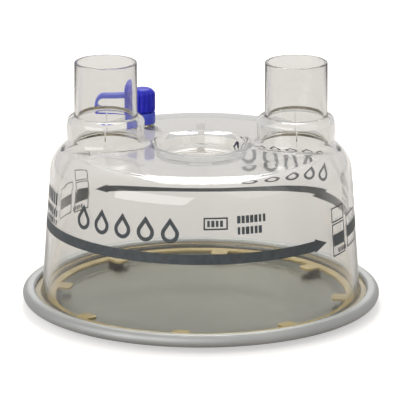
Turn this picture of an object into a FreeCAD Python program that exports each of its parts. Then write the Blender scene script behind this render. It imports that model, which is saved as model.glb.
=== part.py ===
import FreeCAD, Part
import os
import Sketcher

# Humidification chamber: a clear moulded dome with two ports, held by the
# rolled rim of a drawn metal base plate on a flat seal ring, and a soft cap
# with its strap on the small filling spigot.
# Frame: +Z up, origin at the centre of the face that rests on the heater,
# ports along X, filling spigot on the +Y side. Millimetres and degrees.

SIZES = [
    # dome
    ("foot_radius", 56.2, "outer radius of the wall at the seal"),
    ("dome_wall", 1.6, "wall thickness of the dome"),
    ("wall_draft", 4.1, "lean of the wall from upright"),
    ("shoulder_radius", 9.4, "outer radius of the shoulder's bend"),
    ("dome_height", 58.0, "flat top above the contact face"),
    ("foot_thickness", 1.2, "clamped flange at the foot"),
    ("foot_fillet", 0.8, "fillet between flange and wall"),
    ("recess_radius", 15.8, "rim of the round recess in the top"),
    ("recess_slope", 1.9, "rim to floor of the recess, radial"),
    ("recess_depth", 4.0, "depth of the recess"),
    ("rib_thickness", 1.2, "rib from the recess to the back wall"),
    ("rib_depth", 7.0, "how far the rib hangs below the ceiling"),
    # ports
    ("port_offset", 33.3, "axis of each port from the centre"),
    ("port_radius", 11.0, "outer radius of a port"),
    ("port_wall", 1.1, "wall of a port"),
    ("port_height", 29.5, "port above the flat top"),
    ("port_edge", 0.5, "rounded edge at a port's mouth"),
    ("collar_step", 2.6, "how far the collar stands out from the port"),
    ("collar_height", 7.7, "straight side of the collar with its fillet"),
    ("collar_slope", 2.6, "height of the rounding above the side"),
    ("collar_wall", 1.6, "wall of the hollow collar"),
    ("collar_fillet", 1.8, "fillet at the collar's foot"),
    # filling spigot
    ("fill_x", -20.7, "axis of the spigot"),
    ("fill_y", 25.0, "axis of the spigot"),
    ("fill_bore", 2.2, "bore radius of the spigot"),
    ("fill_wall", 0.9, "wall of the spigot"),
    ("fill_height", 11.0, "spigot above the flat top"),
    ("seat_step", 1.5, "how far the seat at the foot stands out"),
    ("seat_height", 3.4, "height of that seat"),
    ("seat_fillet", 0.8, "fillet at the seat's foot"),
    # seal ring
    ("seal_thickness", 1.0, "flat ring under the dome"),
    ("seal_show", 3.0, "width of the ring seen inside the wall"),
    ("seal_edge_gap", 0.8, "from the ring's edge to the roll's centre"),
    ("foot_edge_gap", 0.6, "from the flange's edge to the roll's centre"),
    ("tab_count", 8, "locating tabs on the ring's inner edge"),
    ("tab_reach", 4.9, "how far a tab stands inwards"),
    ("tab_width", 6.0, "width of a tab"),
    ("tab_corner", 1.4, "corner radius of a tab"),
    ("tab_turn", 37.0, "angle of the first tab from +X"),
    # base plate
    ("plate_sheet", 0.8, "thickness of the drawn sheet"),
    ("step_height", 2.0, "rise from the contact face to the flange"),
    ("step_run", 2.0, "radial length of the sloped step"),
    ("step_cover", 0.4, "flange that shows inside the ring's edge"),
    ("lip_gap", 2.3, "from the dome's wall to the clamping lip"),
    ("lip_bend", 0.4, "inner radius of the bend above the lip"),
    ("lip_length", 0.2, "straight end of the lip"),
    ("roll_flat", 1.1, "flat top of the rolled rim"),
    # cap and strap
    ("cap_wall", 1.1, "skirt of the cap"),
    ("cap_clearance", 0.3, "cap to spigot, all round"),
    ("cap_head", 2.4, "solid head above the spigot"),
    ("cap_crown", 2.3, "rounding of the head's edge"),
    ("plug_depth", 9.0, "plug below the spigot's mouth"),
    ("plug_lead", 0.9, "slope at the plug's tip"),
    ("grip_count", 16, "grooves round the cap's side"),
    ("grip_depth", 0.3, "depth of a groove"),
    ("grip_radius", 0.6, "section radius of a groove"),
    ("ring_thickness", 1.7, "strap ring round the spigot"),
    ("ring_clearance", 0.15, "ring to spigot, radial"),
    ("ring_gap", 0.3, "from the ring to the cap's skirt"),
    ("strap_thickness", 0.9, "section of the strap"),
    ("strap_width", 2.4, "section of the strap"),
    ("strap_reach", 18.6, "spigot's axis to the end of the loop"),
    ("strap_rise", 5.9, "from the lower run to the upper run"),
    ("strap_bend", 2.2, "outer radius of the loop's lower corner"),
    ("strap_wedge", 5.6, "length of the thick corner in the loop"),
]

doc = FreeCAD.newDocument("humidification_chamber")

sheet = doc.addObject("Spreadsheet::Sheet", "sizes")
for row, (alias, size, note) in enumerate(SIZES, start=1):
    sheet.set("A%d" % row, note)
    sheet.set("B%d" % row, str(size))
    sheet.setAlias("B%d" % row, alias)
doc.recompute()

# Heights and radii that several pieces share, as expressions on the sheet.
LEAN = "(sizes.wall_draft * 1 deg)"
FLANGE_TOP = "(sizes.step_height + sizes.plate_sheet)"
FOOT_LEVEL = f"({FLANGE_TOP} + sizes.seal_thickness)"
FOOT_TOP = f"({FOOT_LEVEL} + sizes.foot_thickness)"
CEILING = "(sizes.dome_height - sizes.dome_wall)"
MID_TOP = "(sizes.dome_height - sizes.dome_wall / 2)"
PORT_ROOT = "(sizes.dome_height - sizes.dome_wall * 0.95)"
COLLAR_TOP = "(sizes.dome_height + sizes.collar_height)"
SHOULDER_Z = "(sizes.dome_height - sizes.shoulder_radius)"
SHOULDER_R = (f"(sizes.foot_radius - ({SHOULDER_Z} - {FOOT_LEVEL}) * tan({LEAN})"
              f" - sizes.shoulder_radius / cos({LEAN}))")
SEAL_INNER = "(sizes.foot_radius - sizes.dome_wall - sizes.seal_show)"
LIP_R = "(sizes.foot_radius + sizes.lip_gap)"
BEND_OUTER = "(sizes.lip_bend + sizes.plate_sheet)"
ROLL_INNER = ("((sizes.seal_thickness + sizes.foot_thickness"
              " + sizes.lip_length + sizes.lip_bend) / 2)")
ROLL_OUTER = f"({ROLL_INNER} + sizes.plate_sheet)"
ROLL_R = f"({LIP_R} + {BEND_OUTER} + sizes.roll_flat)"
ROLL_Z = f"(sizes.step_height + {ROLL_OUTER})"
FILL_RADIUS = "(sizes.fill_bore + sizes.fill_wall)"
FILL_TOP = "(sizes.dome_height + sizes.fill_height)"
SEAT_TOP = "(sizes.dome_height + sizes.seat_height)"
RING_TOP = f"({SEAT_TOP} + sizes.ring_thickness)"
CAP_RADIUS = f"({FILL_RADIUS} + sizes.cap_clearance + sizes.cap_wall)"


def number(expression):
    """The value of an expression on the size sheet."""
    return float(sheet.evalExpression(str(expression)))


def new_body(label):
    """An empty body whose Label names the piece and its file."""
    body = doc.addObject("PartDesign::Body", label)
    body.Label = label
    doc.recompute()
    return body


def origin_feature(body, role):
    """A plane or axis of the body's own origin."""
    return next(f for f in body.Origin.OriginFeatures if f.Role == role)


def new_sketch(body, name, role, lift="0"):
    """A sketch on an origin plane, moved along its normal by an expression."""
    sketch = body.newObject("Sketcher::SketchObject", name)
    sketch.AttachmentSupport = [(origin_feature(body, role), "")]
    sketch.MapMode = "FlatFace"
    sketch.AttachmentOffset = FreeCAD.Placement(
        FreeCAD.Vector(0, 0, number(lift)), FreeCAD.Rotation())
    sketch.setExpression("AttachmentOffset.Base.z", lift)
    return sketch


def pin_point(sketch, edge, vertex, x, y):
    """Dimension a vertex from the sketch's origin with two expressions."""
    for kind, expression in (("DistanceX", x), ("DistanceY", y)):
        index = sketch.addConstraint(
            Sketcher.Constraint(kind, edge, vertex, number(expression)))
        sketch.setExpression("Constraints[%d]" % index, str(expression))


def draw_outline(sketch, corners):
    """A closed outline through corners (x, y, radius).

    A radius on a corner bends the stretch that leads on from it: above zero
    it turns left along the way, below zero it turns right, None is straight.
    """
    places = [FreeCAD.Vector(number(x), number(y), 0) for x, y, _ in corners]
    ends = []
    for i, (_, _, bend) in enumerate(corners):
        start = places[i]
        end = places[(i + 1) % len(corners)]
        if bend is None:
            edge = sketch.addGeometry(Part.LineSegment(start, end))
            ends.append((edge, 1, 2))
            continue
        left = not bend.startswith("-")
        radius = number(bend.lstrip("-"))
        chord = end - start
        normal = FreeCAD.Vector(-chord.y, chord.x, 0).normalize()
        side = 1 if left else -1
        rise = max(radius ** 2 - chord.Length ** 2 / 4, 0) ** 0.5
        centre = (start + end) / 2 + normal * rise * side
        middle = centre - normal * side * radius
        arc = Part.ArcOfCircle(start, middle, end)
        edge = sketch.addGeometry(arc)
        ends.append((edge, 1, 2) if left else (edge, 2, 1))
        index = sketch.addConstraint(
            Sketcher.Constraint("Radius", edge, radius))
        sketch.setExpression("Constraints[%d]" % index, bend.lstrip("-"))
    for i, (edge, first, last) in enumerate(ends):
        pin_point(sketch, edge, first, corners[i][0], corners[i][1])
        follower, start_vertex, _ = ends[(i + 1) % len(ends)]
        sketch.addConstraint(Sketcher.Constraint(
            "Coincident", edge, last, follower, start_vertex))
    return sketch


def draw_circle(sketch, x, y, radius):
    """A circle placed and sized by expressions."""
    centre = FreeCAD.Vector(number(x), number(y), 0)
    circle = sketch.addGeometry(
        Part.Circle(centre, FreeCAD.Vector(0, 0, 1), number(radius)))
    index = sketch.addConstraint(
        Sketcher.Constraint("Radius", circle, number(radius)))
    sketch.setExpression("Constraints[%d]" % index, radius)
    pin_point(sketch, circle, 3, x, y)


def draw_axis(sketch, x):
    """An upright construction line at x, for a revolution about it."""
    place = number(x)
    line = sketch.addGeometry(Part.LineSegment(
        FreeCAD.Vector(place, 0, 0), FreeCAD.Vector(place, 10, 0)), True)
    sketch.addConstraint(Sketcher.Constraint("Vertical", line))
    sketch.addConstraint(Sketcher.Constraint("PointOnObject", line, 1, -1))
    for kind, vertex, text in (("DistanceX", 1, x), ("DistanceY", 2, "10")):
        index = sketch.addConstraint(
            Sketcher.Constraint(kind, line, vertex, number(text)))
        sketch.setExpression("Constraints[%d]" % index, text)


def revolve(body, name, sketch, axis="V_Axis"):
    """A full turn of a sketch about one of its axes."""
    doc.recompute()
    feature = body.newObject("PartDesign::Revolution", name)
    feature.Profile = sketch
    feature.ReferenceAxis = (sketch, [axis])
    feature.Angle = 360
    doc.recompute()
    return feature


def hollow_out(body, name, sketch, axis):
    """A full turn of a sketch about one of its axes, taken away."""
    doc.recompute()
    before = body.Shape.Volume
    feature = body.newObject("PartDesign::Groove", name)
    feature.Profile = sketch
    feature.ReferenceAxis = (sketch, [axis])
    feature.Angle = 360
    doc.recompute()
    if body.Shape.Volume > before - 1:
        raise RuntimeError(name + " cut nothing")
    return feature


def pad(body, name, sketch, length, both_ways=False):
    """A sketch pushed out by a length, or by half of it each way."""
    doc.recompute()
    feature = body.newObject("PartDesign::Pad", name)
    feature.Profile = sketch
    feature.setExpression("Length", length)
    feature.Midplane = both_ways
    doc.recompute()
    return feature


def cut_up(body, name, sketch):
    """A cut from the sketch upwards through everything above it."""
    doc.recompute()
    before = body.Shape.Volume
    feature = body.newObject("PartDesign::Pocket", name)
    feature.Profile = sketch
    feature.Type = "ThroughAll"
    feature.Reversed = True
    doc.recompute()
    if body.Shape.Volume > before - 1:
        raise RuntimeError(name + " cut nothing")
    return feature


def repeat_round(body, name, feature, count):
    """Copies of a feature round the body's Z axis."""
    pattern = body.newObject("PartDesign::PolarPattern", name)
    pattern.Originals = [feature]
    pattern.Axis = (origin_feature(body, "Z_Axis"), [""])
    pattern.Angle = 360
    pattern.setExpression("Occurrences", count)
    body.Tip = pattern
    doc.recompute()
    return pattern


def make_base_plate():
    """One drawn sheet: contact face, step, flange and rolled, clamping rim."""
    body = new_body("base_plate")
    sketch = new_sketch(body, "sheet_section", "XZ_Plane")
    contact = f"({SEAL_INNER} + sizes.step_cover - sizes.step_run)"
    shift = ("(sizes.plate_sheet * tan(atan(sizes.step_height"
             " / sizes.step_run) / 2))")
    roll_top = f"({ROLL_Z} + {ROLL_OUTER})"
    bend_r = f"({LIP_R} + {BEND_OUTER})"
    draw_outline(sketch, [
        ("0", "0", None),
        (contact, "0", None),
        (f"{contact} + sizes.step_run", "sizes.step_height", None),
        (ROLL_R, "sizes.step_height", ROLL_OUTER),
        (f"{ROLL_R} + {ROLL_OUTER}", ROLL_Z, ROLL_OUTER),
        (ROLL_R, roll_top, None),
        (bend_r, roll_top, BEND_OUTER),
        (LIP_R, f"{roll_top} - {BEND_OUTER}", None),
        (LIP_R, FOOT_TOP, None),
        (f"{LIP_R} + sizes.plate_sheet", FOOT_TOP, None),
        (f"{LIP_R} + sizes.plate_sheet", f"{roll_top} - {BEND_OUTER}", "-sizes.lip_bend"),
        (bend_r, f"{roll_top} - sizes.plate_sheet", None),
        (ROLL_R, f"{roll_top} - sizes.plate_sheet", "-" + ROLL_INNER),
        (f"{ROLL_R} + {ROLL_INNER}", ROLL_Z, "-" + ROLL_INNER),
        (ROLL_R, FLANGE_TOP, None),
        (f"{contact} + sizes.step_run - {shift}", FLANGE_TOP, None),
        (f"{contact} - {shift}", "sizes.plate_sheet", None),
        ("0", "sizes.plate_sheet", None),
    ])
    revolve(body, "drawn_sheet", sketch)
    return body


def make_seal_ring():
    """Flat ring under the dome's foot, with tabs that reach inwards."""
    body = new_body("seal_ring")
    body.Placement = FreeCAD.Placement(
        FreeCAD.Vector(), FreeCAD.Rotation(FreeCAD.Vector(0, 0, 1), 1))
    body.setExpression("Placement.Rotation.Angle", "sizes.tab_turn * 1 deg")
    ring = new_sketch(body, "ring_outline", "XY_Plane", FLANGE_TOP)
    draw_circle(ring, "0", "0", f"({ROLL_R} - sizes.seal_edge_gap)")
    draw_circle(ring, "0", "0", SEAL_INNER)
    pad(body, "ring", ring, "sizes.seal_thickness")
    tab = new_sketch(body, "tab_outline", "XY_Plane", FLANGE_TOP)
    half = "sizes.tab_width / 2"
    tip = f"({SEAL_INNER} - sizes.tab_reach)"
    root = f"({SEAL_INNER} + sizes.seal_show / 2)"
    draw_outline(tab, [
        (root, f"-{half}", None),
        (root, half, None),
        (f"{tip} + sizes.tab_corner", half, "sizes.tab_corner"),
        (tip, f"{half} - sizes.tab_corner", None),
        (tip, f"-({half} - sizes.tab_corner)", "sizes.tab_corner"),
        (f"{tip} + sizes.tab_corner", f"-{half}", None),
    ])
    first = pad(body, "tab", tab, "sizes.seal_thickness")
    repeat_round(body, "tabs", first, "sizes.tab_count")
    return body


def dome_section(sketch):
    """Half section of the dome's wall, foot flange, shoulder and recess."""
    inner_radius = "(sizes.shoulder_radius - sizes.dome_wall)"
    fillet_z = f"({FOOT_TOP} + sizes.foot_fillet)"
    fillet_r = (f"(sizes.foot_radius - ({fillet_z} - {FOOT_LEVEL}) * tan({LEAN})"
                f" + sizes.foot_fillet / cos({LEAN}))")
    floor_radius = "(sizes.recess_radius - sizes.recess_slope)"
    draw_outline(sketch, [
        (f"sizes.foot_radius - sizes.dome_wall / cos({LEAN})", FOOT_LEVEL, None),
        (f"{ROLL_R} - sizes.foot_edge_gap", FOOT_LEVEL, None),
        (f"{ROLL_R} - sizes.foot_edge_gap", FOOT_TOP, None),
        (fillet_r, FOOT_TOP, "-sizes.foot_fillet"),
        (f"{fillet_r} - sizes.foot_fillet * cos({LEAN})",
         f"{fillet_z} - sizes.foot_fillet * sin({LEAN})", None),
        (f"{SHOULDER_R} + sizes.shoulder_radius * cos({LEAN})",
         f"{SHOULDER_Z} + sizes.shoulder_radius * sin({LEAN})", "sizes.shoulder_radius"),
        (SHOULDER_R, "sizes.dome_height", None),
        ("sizes.recess_radius", "sizes.dome_height", None),
        (floor_radius, "sizes.dome_height - sizes.recess_depth", None),
        ("0", "sizes.dome_height - sizes.recess_depth", None),
        ("0", f"{CEILING} - sizes.recess_depth", None),
        (f"{floor_radius} + sizes.dome_wall", f"{CEILING} - sizes.recess_depth", None),
        ("sizes.recess_radius + sizes.dome_wall", CEILING, None),
        (SHOULDER_R, CEILING, "-" + inner_radius),
        (f"{SHOULDER_R} + {inner_radius} * cos({LEAN})",
         f"{SHOULDER_Z} + {inner_radius} * sin({LEAN})", None),
    ])


def port_section(sketch):
    """Half section of the right-hand port with its collar, still solid."""
    axis = "sizes.port_offset"
    side = "(sizes.port_offset + sizes.port_radius)"
    collar = f"({side} + sizes.collar_step)"
    top = "(sizes.dome_height + sizes.port_height)"
    draw_outline(sketch, [
        (axis, PORT_ROOT, None),
        (f"{collar} + sizes.collar_fillet", PORT_ROOT, None),
        (f"{collar} + sizes.collar_fillet", "sizes.dome_height", "-sizes.collar_fillet"),
        (collar, "sizes.dome_height + sizes.collar_fillet", None),
        (collar, COLLAR_TOP, "sizes.collar_step"),
        (side, f"{COLLAR_TOP} + sizes.collar_slope", None),
        (side, f"{top} - sizes.port_edge", "sizes.port_edge"),
        (f"{side} - sizes.port_edge", top, None),
        (axis, top, None),
    ])
    draw_axis(sketch, axis)


def hollow_section(sketch):
    """Half section of the hollow behind the right-hand collar."""
    axis = "sizes.port_offset"
    bore = "(sizes.port_radius - sizes.port_wall)"
    wide = "(sizes.port_radius + sizes.collar_step - sizes.collar_wall)"
    below = f"({CEILING} - sizes.dome_wall)"
    top = f"({COLLAR_TOP} + sizes.collar_slope - sizes.port_wall)"
    bend = f"({wide} - {bore})"
    draw_outline(sketch, [
        (axis, below, None),
        (f"{axis} + {wide}", below, None),
        (f"{axis} + {wide}", f"{top} - {bend}", bend),
        (f"{axis} + {bore}", top, None),
        (axis, top, None),
    ])
    draw_axis(sketch, axis)


def spigot_section(sketch):
    """Half section of the filling spigot and its seat, still solid."""
    side = f"(sizes.fill_x + {FILL_RADIUS})"
    seat = f"({side} + sizes.seat_step)"
    draw_outline(sketch, [
        ("sizes.fill_x", MID_TOP, None),
        (f"{seat} + sizes.seat_fillet", MID_TOP, None),
        (f"{seat} + sizes.seat_fillet", "sizes.dome_height", "-sizes.seat_fillet"),
        (seat, "sizes.dome_height + sizes.seat_fillet", None),
        (seat, SEAT_TOP, None),
        (side, SEAT_TOP, None),
        (side, FILL_TOP, None),
        ("sizes.fill_x", FILL_TOP, None),
    ])
    draw_axis(sketch, "sizes.fill_x")


def rib_outline(sketch):
    """Side view of the rib between the recess and the back wall."""
    mid_radius = "(sizes.shoulder_radius - sizes.dome_wall / 2)"
    front = "(sizes.recess_radius - sizes.recess_slope + sizes.dome_wall / 2)"
    draw_outline(sketch, [
        (front, f"{CEILING} - sizes.rib_depth", None),
        (f"{SHOULDER_R} + {mid_radius} * cos({LEAN})",
         f"{SHOULDER_Z} + {mid_radius} * sin({LEAN})", mid_radius),
        (SHOULDER_R, MID_TOP, None),
        (front, MID_TOP, None),
    ])


def make_dome():
    """Clear moulded dome: wall, shoulder, recess, ports, spigot and rib."""
    body = new_body("dome")
    wall = new_sketch(body, "wall_section", "XZ_Plane")
    dome_section(wall)
    revolve(body, "wall", wall)
    rib = new_sketch(body, "rib_outline", "YZ_Plane")
    rib_outline(rib)
    pad(body, "rib", rib, "sizes.rib_thickness", both_ways=True)
    port = new_sketch(body, "port_section", "XZ_Plane")
    port_section(port)
    right_port = revolve(body, "right_port", port, "Axis0")
    hollow = new_sketch(body, "hollow_section", "XZ_Plane")
    hollow_section(hollow)
    right_hollow = hollow_out(body, "right_hollow", hollow, "Axis0")
    left_port = body.newObject("PartDesign::Mirrored", "left_port")
    left_port.Originals = [right_port, right_hollow]
    left_port.MirrorPlane = (origin_feature(body, "YZ_Plane"), [""])
    body.Tip = left_port
    doc.recompute()
    spigot = new_sketch(body, "spigot_section", "XZ_Plane", "-sizes.fill_y")
    spigot_section(spigot)
    revolve(body, "spigot", spigot, "Axis0")
    bores = new_sketch(body, "bores_outline", "XY_Plane")
    port_bore = "(sizes.port_radius - sizes.port_wall)"
    draw_circle(bores, "sizes.port_offset", "0", port_bore)
    draw_circle(bores, "-sizes.port_offset", "0", port_bore)
    draw_circle(bores, "sizes.fill_x", "sizes.fill_y", "sizes.fill_bore")
    cut_up(body, "bores", bores)
    return body


def stand_on_spigot(body):
    """Place a body that is drawn about Z on the spigot's axis."""
    body.setExpression("Placement.Base.x", "sizes.fill_x")
    body.setExpression("Placement.Base.y", "sizes.fill_y")


def make_fill_cap():
    """Soft cap: skirt outside the spigot, plug inside it, ribbed side."""
    body = new_body("fill_cap")
    stand_on_spigot(body)
    section = new_sketch(body, "cap_section", "XZ_Plane")
    plug = "(sizes.fill_bore - sizes.cap_clearance)"
    tip = f"({FILL_TOP} - sizes.plug_depth)"
    stop = f"({FILL_TOP} + sizes.cap_clearance)"
    top = f"({stop} + sizes.cap_head)"
    skirt = f"({FILL_RADIUS} + sizes.cap_clearance)"
    skirt_end = f"({RING_TOP} + sizes.ring_gap)"
    draw_outline(section, [
        ("0", tip, None),
        (f"{plug} - sizes.plug_lead", tip, None),
        (plug, f"{tip} + sizes.plug_lead", None),
        (plug, stop, None),
        (skirt, stop, None),
        (skirt, skirt_end, None),
        (CAP_RADIUS, skirt_end, None),
        (CAP_RADIUS, f"{top} - sizes.cap_crown", "sizes.cap_crown"),
        (f"{CAP_RADIUS} - sizes.cap_crown", top, None),
        ("0", top, None),
    ])
    revolve(body, "cap", section)
    groove = new_sketch(body, "groove_outline", "XY_Plane", skirt_end)
    draw_circle(groove, f"{CAP_RADIUS} + sizes.grip_radius - sizes.grip_depth",
                "0", "sizes.grip_radius")
    cut = cut_up(body, "grip_groove", groove)
    repeat_round(body, "grip_grooves", cut, "sizes.grip_count")
    return body


def make_cap_tether():
    """Ring round the spigot's foot, and the strap that loops up to the cap."""
    body = new_body("cap_tether")
    stand_on_spigot(body)
    ring = new_sketch(body, "ring_outline", "XY_Plane", SEAT_TOP)
    draw_circle(ring, "0", "0", CAP_RADIUS)
    draw_circle(ring, "0", "0", f"({FILL_RADIUS} + sizes.ring_clearance)")
    pad(body, "ring", ring, "sizes.ring_thickness")
    strap = new_sketch(body, "strap_outline", "XZ_Plane")
    low = f"({SEAT_TOP} + sizes.ring_thickness / 2 - sizes.strap_thickness / 2)"
    high = f"({low} + sizes.strap_rise)"
    upper_bend = "(sizes.strap_rise + sizes.strap_thickness - sizes.strap_bend)"
    inner_bend = "(sizes.strap_rise - sizes.strap_bend)"
    root = f"({CAP_RADIUS} - sizes.cap_wall / 2)"
    near_cap = f"({CAP_RADIUS} + sizes.cap_clearance)"
    far = "sizes.strap_reach"
    draw_outline(strap, [
        (f"-{root}", f"{low} + sizes.strap_thickness", None),
        (f"-({far} - sizes.strap_wedge)", f"{low} + sizes.strap_thickness", None),
        (f"-({far} - sizes.strap_thickness)", f"{low} + sizes.strap_bend", "-" + inner_bend),
        (f"-({far} - {upper_bend})", high, None),
        (f"-{near_cap}", high, None),
        (f"-{near_cap}", f"{high} + sizes.strap_thickness", None),
        (f"-({far} - {upper_bend})", f"{high} + sizes.strap_thickness", upper_bend),
        (f"-{far}", f"{low} + sizes.strap_bend", "sizes.strap_bend"),
        (f"-({far} - sizes.strap_bend)", low, None),
        (f"-{root}", low, None),
    ])
    pad(body, "strap", strap, "sizes.strap_width", both_ways=True)
    return body


pieces = [
    make_base_plate(),
    make_seal_ring(),
    make_dome(),
    make_fill_cap(),
    make_cap_tether(),
]
doc.recompute()

for item in doc.Objects:
    if "Invalid" in item.State or "Error" in item.State:
        raise RuntimeError(item.Name + " could not be computed")
for piece in pieces:
    if piece.Shape.isNull() or not piece.Shape.isValid():
        raise RuntimeError(piece.Label + " has no valid shape")
    if len(piece.Shape.Solids) != 1:
        raise RuntimeError(piece.Label + " is not one solid")

os.makedirs("parts", exist_ok=True)
for piece in pieces:
    piece.Shape.exportStep("parts/%s.step" % piece.Label)
    print(piece.Label, round(piece.Shape.Volume, 1), "mm3")
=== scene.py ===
import bmesh
import bpy
import math
from mathutils import Matrix, Vector


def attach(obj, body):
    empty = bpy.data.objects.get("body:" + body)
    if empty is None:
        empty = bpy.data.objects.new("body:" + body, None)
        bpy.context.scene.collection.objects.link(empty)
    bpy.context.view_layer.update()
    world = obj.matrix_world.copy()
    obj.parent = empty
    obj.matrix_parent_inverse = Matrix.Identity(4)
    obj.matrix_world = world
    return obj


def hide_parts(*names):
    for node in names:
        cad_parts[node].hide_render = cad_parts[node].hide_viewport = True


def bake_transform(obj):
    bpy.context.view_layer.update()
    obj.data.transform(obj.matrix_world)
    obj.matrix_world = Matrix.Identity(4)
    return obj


# Humidification chamber: clear moulded dome on a drawn metal base plate.
# Everything is drawn in millimetres and scaled to metres at the end.
# +Z up, ports along X, the filling spigot on the +Y side, camera on -Y.

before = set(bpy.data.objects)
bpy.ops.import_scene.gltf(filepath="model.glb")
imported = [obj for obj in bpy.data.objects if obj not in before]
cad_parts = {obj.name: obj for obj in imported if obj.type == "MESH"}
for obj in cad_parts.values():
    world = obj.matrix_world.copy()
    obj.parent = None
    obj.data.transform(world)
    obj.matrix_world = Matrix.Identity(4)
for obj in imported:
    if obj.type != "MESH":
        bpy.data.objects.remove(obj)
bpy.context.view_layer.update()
toMetres = Matrix.Scale(0.001, 4)


# small helpers


def hexColour(text):
    # sRGB hex to the linear colour that the shaders want
    channels = [int(text[i:i + 2], 16) / 255 for i in (1, 3, 5)]
    linear = [c / 12.92 if c <= 0.04045 else ((c + 0.055) / 1.055) ** 2.4 for c in channels]
    return (*linear, 1.0)


def addNode(tree, kind, inputs=None, **settings):
    # inputs: socket name or number -> a plain value or an output socket to link
    node = tree.nodes.new(kind)
    for name, value in settings.items():
        setattr(node, name, value)
    for key, value in (inputs or {}).items():
        if isinstance(value, bpy.types.NodeSocket):
            tree.links.new(value, node.inputs[key])
        else:
            node.inputs[key].default_value = value
    return node


def newMaterial(name):
    material = bpy.data.materials.new(name)
    material.use_nodes = True
    material.node_tree.nodes.clear()
    return material, material.node_tree


def newNodeTree(name, inputs):
    # inputs: (socket name, socket type) in order, after the geometry
    tree = bpy.data.node_groups.new(name, "GeometryNodeTree")
    tree.interface.new_socket("Geometry", in_out="INPUT", socket_type="NodeSocketGeometry")
    for label, kind in inputs:
        tree.interface.new_socket(label, in_out="INPUT", socket_type=kind)
    tree.interface.new_socket("Geometry", in_out="OUTPUT", socket_type="NodeSocketGeometry")
    return tree, addNode(tree, "NodeGroupInput").outputs


def newThing(name, mesh):
    thing = bpy.data.objects.new(name, mesh)
    bpy.context.scene.collection.objects.link(thing)
    return thing


def meshOf(name, bm):
    mesh = bpy.data.meshes.new(name)
    bm.to_mesh(mesh)
    bm.free()
    return mesh


def bakeModifiers(thing):
    graph = bpy.context.evaluated_depsgraph_get()
    mesh = bpy.data.meshes.new_from_object(thing.evaluated_get(graph), depsgraph=graph)
    thing.modifiers.clear()
    thing.data = mesh


def runNodes(thing, tree, settings):
    modifier = thing.modifiers.new(tree.name, "NODES")
    modifier.node_group = tree
    for item in tree.interface.items_tree:
        if item.in_out == "INPUT" and item.name in settings:
            modifier[item.identifier] = settings[item.name]
    bakeModifiers(thing)


def cutOrJoin(thing, tool, operation):
    modifier = thing.modifiers.new(operation, "BOOLEAN")
    modifier.operation = operation
    modifier.solver = "EXACT"
    modifier.object = tool
    bakeModifiers(thing)
    bpy.data.objects.remove(tool)


def softenEdges(thing, width, segments, angle=30):
    modifier = thing.modifiers.new("soft", "BEVEL")
    modifier.width = width
    modifier.segments = segments
    modifier.limit_method = "ANGLE"
    modifier.angle_limit = math.radians(angle)
    bakeModifiers(thing)


def joinMeshes(name, things):
    bm = bmesh.new()
    for thing in things:
        bm.from_mesh(thing.data)
        bpy.data.objects.remove(thing)
    return newThing(name, meshOf(name, bm))


def roundCorners(corners, steps=6):
    # corners: (x, z, radius); each corner with a radius becomes an arc
    points = []
    count = len(corners)
    for i, (x, z, radius) in enumerate(corners):
        here = Vector((x, z))
        if not radius:
            points.append((x, z))
            continue
        before = (Vector(corners[i - 1][:2]) - here).normalized()
        after = (Vector(corners[(i + 1) % count][:2]) - here).normalized()
        half = before.angle(after) / 2
        reach = radius / math.tan(half)
        centre = here + (before + after).normalized() * (radius / math.sin(half))
        start = here + before * reach - centre
        end = here + after * reach - centre
        turn = start.angle_signed(end)
        pieces = max(2, round(abs(math.degrees(turn)) / 90 * steps))
        for k in range(pieces + 1):
            angle = -turn * k / pieces
            c, s = math.cos(angle), math.sin(angle)
            points.append((centre.x + start.x * c - start.y * s,
                           centre.y + start.x * s + start.y * c))
    return points


def turned(name, outline, segments, centre=(0, 0)):
    # a closed outline (r, z) turned once round an upright axis
    bm = bmesh.new()
    rings = []
    for r, z in outline:
        if r < 1e-6:
            rings.append([bm.verts.new((centre[0], centre[1], z))])
            continue
        rings.append([bm.verts.new((centre[0] + r * math.cos(2 * math.pi * k / segments),
                                    centre[1] + r * math.sin(2 * math.pi * k / segments), z))
                      for k in range(segments)])
    for i, ring in enumerate(rings):
        other = rings[(i + 1) % len(rings)]
        if len(ring) == 1 and len(other) == 1:
            continue
        for k in range(segments):
            n = (k + 1) % segments
            if len(ring) == 1:
                bm.faces.new((ring[0], other[n], other[k]))
            elif len(other) == 1:
                bm.faces.new((ring[k], ring[n], other[0]))
            else:
                bm.faces.new((ring[k], ring[n], other[n], other[k]))
    bmesh.ops.recalc_face_normals(bm, faces=bm.faces)
    return newThing(name, meshOf(name, bm))


def slab(name, outline, low, high, upright=False):
    # a closed outline pushed from low to high, along Z or, for an upright one, along Y
    bm = bmesh.new()
    place = (lambda a, b, c: (a, c, b)) if upright else (lambda a, b, c: (a, b, c))
    loops = [[bm.verts.new(place(a, b, level)) for a, b in outline] for level in (low, high)]
    bm.faces.new(loops[0])
    bm.faces.new(loops[1])
    count = len(outline)
    for k in range(count):
        n = (k + 1) % count
        bm.faces.new((loops[0][k], loops[0][n], loops[1][n], loops[1][k]))
    bmesh.ops.recalc_face_normals(bm, faces=bm.faces)
    return newThing(name, meshOf(name, bm))


def finishPiece(thing, material, sharpAngle=32):
    # weld, close, scale to metres, shade and give the one material
    bm = bmesh.new()
    bm.from_mesh(thing.data)
    bmesh.ops.remove_doubles(bm, verts=bm.verts, dist=0.0005)
    bmesh.ops.dissolve_degenerate(bm, edges=bm.edges, dist=0.0002)
    bm.to_mesh(thing.data)
    bm.free()
    thing.data.transform(toMetres)
    thing.data.shade_smooth()
    thing.data.set_sharp_from_angle(angle=math.radians(sharpAngle))
    thing.data.materials.clear()
    thing.data.materials.append(material)
    return thing


# node trees that repeat a shape or lay it on the wall


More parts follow.
